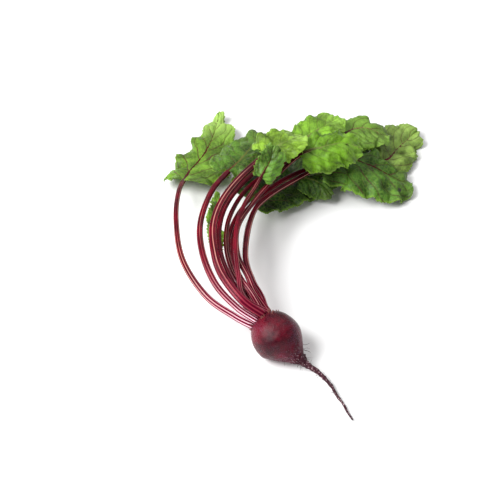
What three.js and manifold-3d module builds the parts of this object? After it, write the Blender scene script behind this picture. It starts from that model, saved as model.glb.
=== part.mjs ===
// A beetroot as picked, lying on a surface with its leafy top: a round root with a long tail,
// and a fan of stalks that arches up and over to a heap of waved leaves.
// Millimetres, +Z up. The origin is the centre of the small flat spot that the root rests on.

import * as THREE from 'three';
import { mergeVertices } from 'three/addons/utils/BufferGeometryUtils.js';
import Module from 'manifold-3d';

const wasm = await Module();
wasm.setup();

// Driving dimensions of the root
const ROOT_CENTRE_HEIGHT = 24; // less than the root's radius of 24.6, which leaves the flat spot
const ROOT_SIDES = 30;
const STALK_FOOT_DEPTH = 21.8; // from the root's centre to the buried feet of the stalks
const TAIL_SIDES = 10;
const TAIL_STEPS = 26;
const ROOTLETS = 22;
const ROOTLET_RADIUS = 0.55; // where it leaves the root
const ROOTLET_LENGTH = 10; // of the longest

// Driving dimensions of the leaves
const BLADE_THICKNESS = 0.9;
const BLADE_ROWS = 20;
const BLADE_HALF_COLUMNS = 4;
const STALK_STEPS = 15;
const STALK_SIDES = 7;
const STALK_FLATNESS = [0.72, 0.9]; // height over width, at the foot and at the blade
const MIDRIB_TIP_RADIUS = 0.7;
const LOBE_DEPTH = 0.08; // as a share of the half width, unless a leaf has its own
const TIP_TAPER = 0.55; // 0.5 gives a round leaf tip and 1 a pointed one, unless a leaf has its own
const GAP = 0.35; // between neighbours that touch on the real plant
const FLOOR = 0.1; // the lowest that a leaf may reach

// The root's long axis, from its centre towards the crown
const CROWN_DIRECTION = new THREE.Vector3(-0.644, 0.692, 0.327).normalize();
const ROOT_CENTRE = new THREE.Vector3(0, 0, ROOT_CENTRE_HEIGHT);

// Radius of the root at places along its axis, from the crown down to the neck of the tail
const ROOT_PROFILE = [
  [26, 0], [25.6, 6.5], [24.1, 11.4], [20.5, 16.3], [13.3, 21.6], [6.6, 24], [0, 24.6],
  [-6.8, 23.8], [-13.2, 21], [-18.6, 16.6], [-22.8, 11.6], [-26, 6.6], [-28, 0],
];

// The tail from inside the root to its tip: places of its centreline, each with its radius
const TAIL = [
  [8, -7, 20.2, 17], [15, -12.3, 16.9, 14.5], [20.4, -17.6, 14, 9], [24.4, -20.6, 12.4, 6.2],
  [28.4, -23.5, 11, 4.2], [34.4, -27.8, 9.2, 3.1], [41, -31.8, 7.2, 2.6], [47, -38, 5.6, 2.3],
  [53, -46, 4.2, 1.9], [58, -57, 3.2, 1.6], [64, -68, 2.4, 1.35], [68, -78, 1.9, 1.15],
  [72, -86, 1.5, 0.9],
];

const vector = ([x, y, z]) => new THREE.Vector3(x, y, z);
const mix = (a, b, share) => a + (b - a) * share;
const smooth = (x) => x * x * (3 - 2 * x);
const clamp01 = (x) => Math.min(1, Math.max(0, x));

// Draws numbers from 0 to 1, the same ones each time
function seeded(seed) {
  let state = seed;
  return () => {
    state = (state * 16807) % 2147483647;
    return state / 2147483647;
  };
}

// Each leaf: its stalk's place on the crown, its route from crown to leaf tip, where on the
// route the blade begins, its stalk's radius at the foot and at the blade, the way its upper face
// looks at the crown, the blade's base and its tip, and the blade's half widths, folds and curls
// to left and right, and its waves: their number, height and phase.
const LEAVES = [
  {
    name: 'leaf_left', angle: 0, ring: 11.5, bladeFrom: 4.6,
    route: [[-41, 16, 36], [-71, 38, 43], [-96, 84, 48], [-105, 144, 46], [-105, 203, 34],
      [-97, 248, 19], [-79, 292, 11], [-68, 330, 10], [-61, 371, 9]],
    stalk: [4.0, 2.6], facing: [[-0.2, -0.2, 1], [-0.15, -0.3, 1], [-0.1, -0.4, 0.9]],
    width: [36, 50], fold: [6, 10], curl: [-46, -30], wave: [4, 4.2, 0.4],
    lobeDepth: 0.2, tipTaper: 0.9,
  },
  {
    name: 'leaf_folded', angle: 42, ring: 11.5, bladeFrom: 5.2,
    route: [[-39, 20, 45], [-61, 42, 56], [-75, 78, 65], [-78, 121, 66], [-68, 174, 60],
      [-53, 205, 58], [-36, 231, 56], [-24, 260, 50], [-14, 297, 40]],
    stalk: [4.0, 2.8], facing: [[-0.2, 0.2, 1], [-0.1, -0.3, 1], [0, 0.3, 1]],
    width: [38, 25], fold: [10, 8], curl: [-60, -30], wave: [4, 3.4, 2.1],
  },
  {
    name: 'leaf_top', angle: 88, ring: 11.5, bladeFrom: 6.1,
    route: [[-34, 19.5, 56.5], [-55, 49.5, 63.5], [-63, 76, 73], [-64, 108, 76], [-55, 143, 77],
      [-36, 181, 76], [-11, 214, 76], [11, 234, 78], [33, 253, 73]],
    stalk: [4.6, 3.6], facing: [[0, -0.5, 1], [-0.1, -0.3, 1], [0.2, 0.3, 1]],
    width: [30, 25], fold: [10, 8], curl: [-45, -26], wave: [4, 3, 1.1],
  },
  {
    name: 'leaf_upright', angle: 129, ring: 11.5, bladeFrom: 5.6, rows: 16,
    route: [[-33, 28.5, 51.5], [-38.5, 56.5, 59], [-41, 87, 66], [-39, 120, 67], [-31, 150, 66],
      [-20, 175, 66], [-10, 192, 74], [-3, 203, 83], [-1, 215, 91]],
    stalk: [2.6, 2.2], facing: [[0, -0.4, 1], [0.2, -1, 0.6], [0.2, -1, 0.3]],
    width: [15, 18], fold: [12, 12], curl: [-30, -30], wave: [3, 2, 0.3],
  },
  {
    name: 'leaf_bright', angle: 176, ring: 11.5, bladeFrom: 6,
    route: [[-21.5, 40.5, 45], [-28.5, 55, 53], [-39, 82, 58], [-39, 120, 59], [-24, 156, 59],
      [1, 197, 60], [29, 231, 63], [54, 240, 67], [79, 246, 68], [102, 249, 58]],
    stalk: [3.1, 2.4], facing: [[0, -0.4, 1], [0, -0.4, 1], [0.3, -0.2, 1]],
    width: [21, 32], fold: [6, 4], curl: [-30, -46], wave: [4, 2.8, 0.2],
  },
  {
    name: 'leaf_dark', angle: 212, ring: 11.5, bladeFrom: 5.4,
    route: [[-14.5, 43, 35], [-24, 55.5, 47.5], [-31, 91, 49], [-24, 148, 48], [-8, 180, 46],
      [31, 221, 40], [76, 259, 34], [110, 253, 30], [140, 246, 16], [162, 242, 6]],
    stalk: [3.6, 2.5], facing: [[0, -0.4, 1], [0, -0.2, 1], [0.4, 0.1, 1]],
    width: [26, 46], fold: [8, 6], curl: [-24, -34], wave: [5, 3, 0.9],
  },
  {
    name: 'leaf_low', angle: 252, ring: 11.5, bladeFrom: 4.2,
    route: [[-30, 38, 34], [-42, 79, 37], [-49, 114, 39], [-44, 148, 38], [-30, 187, 31],
      [-12, 216, 23], [16, 240, 15], [50, 259, 9], [86, 272, 6]],
    stalk: [3.4, 2.2], facing: [[0, -0.4, 1], [0.1, -0.3, 1], [0, 0, 1]],
    width: [40, 38], fold: [10, 8], curl: [-30, -20], wave: [4, 3, 1.9],
  },
  {
    name: 'leaf_under', angle: 232, ring: 6.5, bladeFrom: 6, rows: 14,
    route: [[-20.5, 37, 36.5], [-27, 64, 38], [-32, 98, 42], [-27, 147, 41], [-10, 191.6, 33.4],
      [12.5, 221.5, 26], [29, 233, 26], [45, 233, 25], [58, 227, 21], [68, 218, 14]],
    stalk: [2.2, 1.8], facing: [[0, -0.4, 1], [0, -0.4, 1], [0.2, -0.5, 1]],
    width: [9, 21], fold: [-6, 2], curl: [-12, -40], wave: [3, 1.6, 0.6],
  },
  {
    name: 'leaf_small', angle: 318, ring: 11.5, bladeFrom: 2.6, rows: 14,
    route: [[-33, 32, 37], [-48, 56, 43], [-57, 86, 42], [-61, 117, 43], [-63, 152, 43],
      [-61, 194, 38]],
    stalk: [2.4, 1.6], facing: [[0, -0.4, 1], [0.2, -1, 0.6], [0.3, -0.6, 0.8]],
    width: [11, 9], fold: [14, 14], curl: [-20, -20], wave: [3, 1.6, 0.7],
  },
  {
    name: 'leaf_back', angle: 60, ring: 4.8, bladeFrom: 6, rows: 18,
    route: [[-33, 32.5, 44], [-49, 59, 54], [-58, 93, 60], [-56, 134, 62], [-41, 174, 62],
      [-12, 216, 60], [23, 250, 60], [44, 269, 61], [62, 288, 60], [79, 305, 57]],
    stalk: [3.2, 2.3], facing: [[0, -0.4, 1], [0, -0.3, 1], [0.2, 0.2, 1]],
    width: [26, 28], fold: [8, 8], curl: [-40, -30], wave: [4, 2.8, 0.5],
  },
  {
    name: 'leaf_far_right', angle: 180, ring: 4.8, bladeFrom: 6.6,
    route: [[-24.5, 35, 48.5], [-38.5, 60, 53], [-44, 97, 51], [-39, 135, 49], [-19.5, 176, 45],
      [21.5, 228.5, 35], [82, 272, 22], [130, 276, 15], [152, 303, 13], [177, 336, 10]],
    stalk: [3.2, 2.4], facing: [[0, -0.4, 1], [-0.2, -0.5, 1], [0.1, -0.5, 1]],
    width: [34, 27], fold: [8, 8], curl: [-20, -30], wave: [4, 2.6, 2.6],
  },
  {
    name: 'leaf_back_right', angle: 300, ring: 4.8, bladeFrom: 6, rows: 18,
    route: [[-26.5, 37, 40.5], [-44, 70, 45], [-51, 105, 49], [-47, 147, 51], [-26, 195, 49],
      [15, 238, 46], [67, 275, 44], [94, 297, 45], [116, 300, 43], [137, 290, 34]],
    stalk: [3.0, 2.2], facing: [[0, -0.4, 1], [0, -0.3, 1], [0.2, 0, 1]],
    width: [22, 34], fold: [6, 8], curl: [-44, -24], wave: [4, 2.4, 1.4],
  },
];

// A smooth route through a list of points, with its crosswise frame at each place
class Route {
  constructor(points, facings, bladeFrom) {
    this.curve = new THREE.CatmullRomCurve3(points, false, 'catmullrom', 0.5);
    this.last = points.length - 1;
    this.facings = facings.map((f) => vector(f).normalize());
    this.bladeFrom = bladeFrom;
  }

  point(t) {
    return this.curve.getPoint(t / this.last);
  }

  frame(t) {
    const step = 0.02;
    const ahead = this.point(Math.min(this.last, t + step));
    const tangent = ahead.sub(this.point(Math.max(0, t - step))).normalize();
    const [atCrown, atBase, atTip] = this.facings;
    const facing = t < this.bladeFrom
      ? atCrown.clone().lerp(atBase, smooth(t / this.bladeFrom))
      : atBase.clone().lerp(atTip, smooth((t - this.bladeFrom) / (this.last - this.bladeFrom)));
    const up = facing.addScaledVector(tangent, -facing.dot(tangent)).normalize();
    return { at: this.point(t), tangent, up, side: new THREE.Vector3().crossVectors(tangent, up) };
  }
}

// Turns a closed geometry into a manifold-3d solid, and back
function solidOf(geometry) {
  const bare = new THREE.BufferGeometry();
  bare.setAttribute('position', geometry.getAttribute('position'));
  if (geometry.index) bare.setIndex(geometry.index);
  const merged = mergeVertices(bare, 1e-4);
  return new wasm.Manifold(new wasm.Mesh({
    numProp: 3,
    vertProperties: new Float32Array(merged.attributes.position.array),
    triVerts: new Uint32Array(merged.index.array),
  }));
}

function geometryOf(solid) {
  const mesh = solid.getMesh();
  const geometry = new THREE.BufferGeometry();
  geometry.setAttribute('position', new THREE.BufferAttribute(mesh.vertProperties, 3));
  geometry.setIndex(new THREE.BufferAttribute(mesh.triVerts, 1));
  geometry.computeVertexNormals();
  return geometry;
}

// A tube with flat ends through rings of points, all of the same count
function tubeThrough(rings) {
  const sides = rings[0].length;
  const positions = rings.flat().flatMap((p) => p.toArray());
  const index = [];
  for (let i = 0; i + 1 < rings.length; i++) {
    for (let j = 0; j < sides; j++) {
      const a = i * sides + j;
      const b = i * sides + ((j + 1) % sides);
      index.push(a, b, b + sides, a, b + sides, a + sides);
    }
  }
  const lastRing = (rings.length - 1) * sides;
  for (let j = 1; j + 1 < sides; j++) {
    index.push(0, j + 1, j);
    index.push(lastRing, lastRing + j, lastRing + j + 1);
  }
  const geometry = new THREE.BufferGeometry();
  geometry.setAttribute('position', new THREE.Float32BufferAttribute(positions, 3));
  geometry.setIndex(index);
  return geometry;
}

// A ring of points round a place: wide and high are its half sizes, sunk is how far below it lies
function ringAt({ at, up, side }, wide, high, sides, sunk = 0) {
  const centre = at.clone().addScaledVector(up, -sunk);
  return Array.from({ length: sides }, (_, j) => {
    const turn = (2 * Math.PI * (j + 0.5)) / sides;
    return centre.clone()
      .addScaledVector(side, wide * Math.sin(turn))
      .addScaledVector(up, high * Math.cos(turn));
  });
}

// The root
function rootBulb(extra = 0) {
  const profile = ROOT_PROFILE.map(([along, radius]) =>
    new THREE.Vector2(radius && radius + extra, along + Math.sign(along) * extra));
  const lathe = new THREE.LatheGeometry(profile.reverse(), ROOT_SIDES);
  lathe.applyQuaternion(new THREE.Quaternion()
    .setFromUnitVectors(new THREE.Vector3(0, 1, 0), CROWN_DIRECTION));
  return solidOf(lathe.translate(...ROOT_CENTRE.toArray()));
}

function rootTail() {
  const route = new Route(TAIL.map(vector), [[0, 0, 1], [0, 0, 1], [0, 0, 1]], 1);
  const rings = [];
  for (let i = 0; i <= TAIL_STEPS; i++) {
    const t = (i / TAIL_STEPS) * route.last;
    const radius = tailRadius(t);
    rings.push(ringAt(route.frame(t), radius, radius, TAIL_SIDES));
  }
  return solidOf(tubeThrough(rings));
}

function tailRadius(t) {
  const before = Math.min(TAIL.length - 2, Math.floor(t));
  return mix(TAIL[before][3], TAIL[before + 1][3], t - before);
}

// A thin side root from a place inside the tail: it leaves outwards and hangs a little
function rootlet(from, outward, along, length) {
  const steps = 4;
  const rings = [];
  for (let i = 0; i <= steps; i++) {
    const share = i / steps;
    const place = from.clone()
      .addScaledVector(outward, length * share)
      .addScaledVector(along, length * 0.8 * share * share)
      .add(new THREE.Vector3(0, 0, -length * 0.35 * share * share));
    const radius = mix(ROOTLET_RADIUS, 0.25, share);
    place.z = Math.max(place.z, radius + FLOOR);
    const frame = { at: place, up: along, side: new THREE.Vector3().crossVectors(outward, along) };
    rings.push(ringAt(frame, radius, radius, 4));
  }
  return solidOf(tubeThrough(rings));
}

// Side roots stand in two rows along the taper and the tail, thickest at the neck
function rootRootlets() {
  const draw = seeded(12);
  const route = new Route(TAIL.map(vector), [[0, 0, 1], [0, 0, 1], [0, 0, 1]], 1);
  let all = null;
  for (let k = 0; k < ROOTLETS; k++) {
    const t = mix(1.6, 8.4, Math.pow(k / (ROOTLETS - 1), 1.5));
    const { at, tangent, up, side } = route.frame(t);
    const turn = (k % 2 ? 1 : -1) * mix(0.9, 2.1, draw());
    const outward = side.multiplyScalar(Math.sin(turn)).addScaledVector(up, Math.cos(turn));
    const buried = Math.max(0, tailRadius(t) - 1.2);
    const length = tailRadius(t) - buried + ROOTLET_LENGTH * mix(0.35, 1, draw()) * (1 - t / 14);
    const one = rootlet(at.addScaledVector(outward, buried), outward, tangent, length);
    all = all ? all.add(one) : one;
  }
  return all;
}

function makeRoot() {
  const block = 200;
  const belowFloor = solidOf(new THREE.BoxGeometry(block, block, block).translate(0, 0, -block / 2));
  return rootBulb().add(rootTail()).add(rootRootlets()).subtract(belowFloor);
}

// The place of a stalk's foot inside the crown
function crownFoot(angle, ring) {
  const across = new THREE.Vector3(0, 0, 1).cross(CROWN_DIRECTION).normalize();
  const upward = CROWN_DIRECTION.clone().cross(across);
  const turn = THREE.MathUtils.degToRad(angle);
  const outward = across.multiplyScalar(Math.cos(turn)).addScaledVector(upward, Math.sin(turn));
  return ROOT_CENTRE.clone()
    .addScaledVector(CROWN_DIRECTION, STALK_FOOT_DEPTH)
    .addScaledVector(outward, ring);
}

function leafRoute(leaf) {
  const points = [crownFoot(leaf.angle, leaf.ring), ...leaf.route.map(vector)];
  return new Route(points, leaf.facing, leaf.bladeFrom + 1);
}

// Half width of a blade as a share of its widest, from its base at 0 to its tip at 1,
// with a margin of rounded lobes
function outline(leaf, u, phase) {
  const taper = leaf.tipTaper ?? TIP_TAPER;
  const depth = leaf.lobeDepth ?? LOBE_DEPTH;
  const shape = Math.pow(u + 0.02, 0.36) * Math.pow(1.01 - u, taper) / 0.57;
  return shape * (1 - depth * (1 - Math.abs(Math.sin(Math.PI * leaf.wave[0] * u + phase))));
}

// A place on the blade's middle surface: u runs from base to tip, v from -1 to 1 across
function bladePoint(leaf, route, u, v) {
  const { at, tangent, up, side } = route.frame(mix(route.bladeFrom, route.last, u));
  const right = v > 0 ? 1 : 0;
  const out = Math.abs(v);
  const [waves, height, phase] = leaf.wave;
  const width = leaf.width[right] * outline(leaf, u, phase + right);
  const fold = THREE.MathUtils.degToRad(leaf.fold[right]);
  const curl = THREE.MathUtils.degToRad(leaf.curl[right]);
  const along = fold + curl * out;
  const turn = 2 * Math.PI * waves * u + phase + right * 2;
  const wave = height * Math.pow(out, 1.6) * (Math.sin(turn) + 0.45 * Math.sin(1.7 * turn + 1));
  at.addScaledVector(side, Math.sign(v) * width * (Math.sin(along) - Math.sin(fold)) / curl);
  at.addScaledVector(up, width * (Math.cos(fold) - Math.cos(along)) / curl + wave);
  at.addScaledVector(tangent, mix(-0.3, 0.25, clamp01(2 * u)) * width * out * out);
  at.z = Math.max(at.z, FLOOR + BLADE_THICKNESS / 2);
  return at;
}

// Rows of a blade lie closer together at its two ends
function rowPlace(share) {
  return mix(share, smooth(share), 0.6);
}

function makeBlade(leaf) {
  const route = leafRoute(leaf);
  const columns = 2 * BLADE_HALF_COLUMNS;
  const rows = leaf.rows ?? BLADE_ROWS;
  const faces = [[], []];
  for (let i = 0; i <= rows; i++) {
    for (let j = 0; j <= columns; j++) {
      const u = rowPlace(i / rows);
      const v = (2 * j) / columns - 1;
      const step = 0.02;
      const ahead = bladePoint(leaf, route, Math.min(1, u + step), v);
      const behind = bladePoint(leaf, route, Math.max(0, u - step), v);
      const right = bladePoint(leaf, route, u, Math.min(1, v + step));
      const left = bladePoint(leaf, route, u, Math.max(-1, v - step));
      const normal = right.sub(left).cross(ahead.sub(behind)).normalize();
      const middle = bladePoint(leaf, route, u, v);
      faces[0].push(middle.clone().addScaledVector(normal, BLADE_THICKNESS / 2));
      faces[1].push(middle.addScaledVector(normal, -BLADE_THICKNESS / 2));
    }
  }
  const index = [];
  const across = columns + 1;
  const under = faces[0].length;
  for (let i = 0; i < rows; i++) {
    for (let j = 0; j < columns; j++) {
      const a = i * across + j;
      const b = a + across;
      index.push(a, a + 1, b + 1, a, b + 1, b);
      index.push(under + a, under + b + 1, under + a + 1, under + a, under + b, under + b + 1);
    }
  }
  const rim = [];
  for (let j = 0; j < columns; j++) rim.push(j);
  for (let i = 0; i < rows; i++) rim.push(i * across + columns);
  for (let j = columns; j > 0; j--) rim.push(rows * across + j);
  for (let i = rows; i > 0; i--) rim.push(i * across);
  rim.forEach((a, k) => {
    const b = rim[(k + 1) % rim.length];
    index.push(a, under + a, under + b, a, under + b, b);
  });
  const geometry = new THREE.BufferGeometry();
  geometry.setAttribute('position',
    new THREE.Float32BufferAttribute(faces.flat().flatMap((p) => p.toArray()), 3));
  geometry.setIndex(index);
  return solidOf(geometry);
}

// A stalk, which runs on under the blade as its midrib
function makeStalk(leaf) {
  const route = leafRoute(leaf);
  const [atFoot, atBlade] = leaf.stalk;
  const rows = leaf.rows ?? BLADE_ROWS;
  const rings = [];
  for (let i = 0; i < STALK_STEPS; i++) {
    const t = (route.bladeFrom * i) / STALK_STEPS;
    const share = i / STALK_STEPS;
    const radius = mix(atFoot, atBlade, Math.pow(share, 0.7));
    const sunk = (radius + BLADE_THICKNESS / 2 + GAP) * smooth(clamp01((share - 0.6) / 0.4));
    const high = radius * mix(...STALK_FLATNESS, share);
    rings.push(ringAt(route.frame(t), radius, high, STALK_SIDES, sunk));
  }
  for (let i = 0; i < rows; i++) {
    const u = rowPlace(i / rows);
    const radius = mix(atBlade, MIDRIB_TIP_RADIUS, Math.pow(u, 0.8));
    const sunk = radius + BLADE_THICKNESS / 2 + GAP;
    const frame = route.frame(mix(route.bladeFrom, route.last, u));
    rings.push(ringAt(frame, radius, radius * STALK_FLATNESS[1], STALK_SIDES, sunk));
  }
  return solidOf(tubeThrough(rings)).subtract(rootBulb(GAP));
}

const skin = new THREE.MeshStandardMaterial({ color: 0x4a1526, roughness: 0.45, metalness: 0 });
const stalkRed = new THREE.MeshStandardMaterial({ color: 0x9a1840, roughness: 0.35, metalness: 0 });
const leafGreen = new THREE.MeshStandardMaterial({ color: 0x6fa43a, roughness: 0.5, metalness: 0 });

function named(name, solid, material) {
  const mesh = new THREE.Mesh(geometryOf(solid), material);
  mesh.name = name;
  return mesh;
}

const beetroot = new THREE.Group();
beetroot.add(named('root', makeRoot(), skin));
for (const leaf of LEAVES) {
  beetroot.add(named(leaf.name + '_stalk', makeStalk(leaf), stalkRed));
  beetroot.add(named(leaf.name + '_blade', makeBlade(leaf), leafGreen));
}

export default beetroot;
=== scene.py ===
# The looks of a beetroot as picked: a round root with its tail and side roots, and twelve leaves.
# Places and sizes in the tables and formulas are millimetres, and MM turns them into metres.

import math

import bpy
import numpy as np
from bpy.props import FloatProperty, FloatVectorProperty, IntProperty, PointerProperty
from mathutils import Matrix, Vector, noise


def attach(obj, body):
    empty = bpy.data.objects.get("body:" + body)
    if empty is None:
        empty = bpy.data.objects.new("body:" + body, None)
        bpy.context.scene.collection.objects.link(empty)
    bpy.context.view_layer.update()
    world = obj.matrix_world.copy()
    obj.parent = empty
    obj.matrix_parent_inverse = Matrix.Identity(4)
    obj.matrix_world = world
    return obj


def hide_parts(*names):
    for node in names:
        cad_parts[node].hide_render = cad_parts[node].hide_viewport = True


bl_info = {
    "name": "Beetroot",
    "version": (1, 0, 0),
    "blender": (4, 5, 0),
    "location": "3D View > Sidebar > Beetroot",
    "description": "Adds a beetroot with its leaves, piece by piece",
    "category": "Add Mesh",
}

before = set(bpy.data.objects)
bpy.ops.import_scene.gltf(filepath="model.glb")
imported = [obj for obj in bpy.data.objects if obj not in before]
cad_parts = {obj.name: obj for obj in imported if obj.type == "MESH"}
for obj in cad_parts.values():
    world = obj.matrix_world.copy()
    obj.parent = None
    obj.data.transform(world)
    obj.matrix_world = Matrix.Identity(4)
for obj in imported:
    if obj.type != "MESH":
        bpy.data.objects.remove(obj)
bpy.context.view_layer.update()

MM = 0.001

# Driving dimensions, as the solids have them
ROOT_CENTRE = np.array([0, 0, 24])
CROWN_DIRECTION = np.array([-0.644, 0.692, 0.327]) / np.linalg.norm([-0.644, 0.692, 0.327])
STALK_FOOT_DEPTH = 21.8
STALK_FLATNESS = (0.72, 0.9)  # height over width, at the foot and at the blade
MIDRIB_TIP_RADIUS = 0.7
BLADE_HALF_THICKNESS = 0.45
LOBE_DEPTH = 0.08  # as a share of the half width, unless a leaf has its own
TIP_TAPER = 0.55  # 0.5 gives a round leaf tip and 1 a pointed one, unless a leaf has its own

# What the scene adds to the root's skin: heights, for the tail as shares of its radius
CROWN_RING_HEIGHT = 0.16
NECK_FURROW_HEIGHT = 0.3
CROWN_LUMP_HEIGHT = 0.5
TAIL_LUMPS = (0.3, 0.16)
TAIL_THINNER = 0.12

# The same for stalks and blades: shares of the radius, and distances between creases and lumps
CHANNEL_DEPTH = 0.2
CHANNEL_HALF_ANGLE = 0.42
RIB_WAVER = 0.7
CREASE_GAP = 26
LUMP_GAPS = (7, 3)
VEIN_SLANT = 0.75
VEIN_BOW = 0.12

# Small parts and meshes
FLOOR = 0.1  # how high above the surface leaves and stalks stay at least
STALK_RINGS = 170
HAIR_SEED = 23
HAIR_POINTS = 10
HAIR_RADII = (0.12, 0.34)
HAIR_WOBBLE = 0.16  # as a share of the hair's length
THREAD_COUNT = 14
THREAD_POINTS = 9
THREAD_RADIUS = 0.24
SCALE_SEED = 71
SCALE_POINTS = 5
SCALE_SIDES = 8

# Half widths of veins, at the midrib and at the margin, as a share of the gap between two veins
MAIN_VEIN = (0.046, 0.022)
FORK_VEIN = (0.05, 0.022)
NET_CELLS = 230.0  # meshes of the net of fine veins on a metre
NET_WANDER = 0.0025  # how far they wander, in metres

# Radius of the root at places along its axis, from the crown to where the tail takes over
BULB_PROFILE = [
    (26, 0), (25.6, 6.5), (24.1, 11.4), (20.5, 16.3), (13.3, 21.6), (6.6, 24), (0, 24.6), (-6.8, 23.8),
]

# The rest of the root: places of its middle line, each with its radius, down to the tail's tip
TAPER_AND_TAIL = [
    (9.4, -8.2, 19.6, 20.4), (15, -12.3, 16.9, 15), (20.4, -17.6, 14, 9), (24.4, -20.6, 12.4, 6.2),
    (28.4, -23.5, 11, 4.2), (34.4, -27.8, 9.2, 3.1), (41, -31.8, 7.2, 2.6), (47, -38, 5.6, 2.3),
    (53, -46, 4.2, 1.9), (58, -57, 3.2, 1.6),
    (64, -68, 2.4, 1.35), (68, -78, 1.9, 1.15), (72, -86, 1.5, 0.9),
]

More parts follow.
